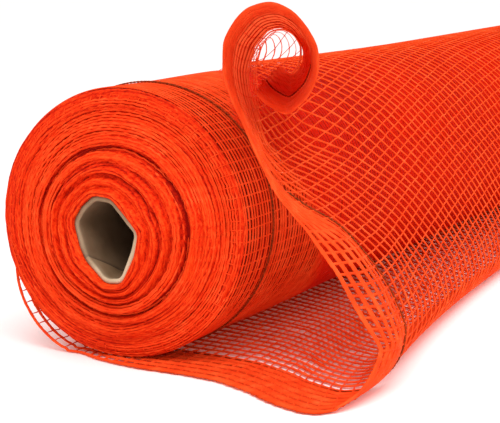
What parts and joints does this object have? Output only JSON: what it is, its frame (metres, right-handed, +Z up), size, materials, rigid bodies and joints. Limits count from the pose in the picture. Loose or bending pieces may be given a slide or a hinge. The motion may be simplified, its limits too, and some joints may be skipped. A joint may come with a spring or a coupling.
{
  "type": "roll of debris netting",
  "caption": "Roll of knitted mesh netting on a crushed cardboard core, its loose end drawn out below, folded in front and laid back over the roll with a curled corner.",
  "frame": {"origin": "on the floor below the roll's axis, at the middle of the roll's length, on the flat underside of the net's lower layer", "axes": "+X along the roll from its near face to its far face, -Y to the front, where the net is folded, +Z up"},
  "size_m": [1.0723, 0.272, 0.2299],
  "materials": {
    "netting": "knitted orange polyethylene tape, soft sheen",
    "cardboard": "matt spiral-wound cardboard"
  },
  "bodies": {
    "root": {"netting_roll": "netting", "loose_end": "netting", "core_tube": "cardboard"}
  },
  "joints": []
}
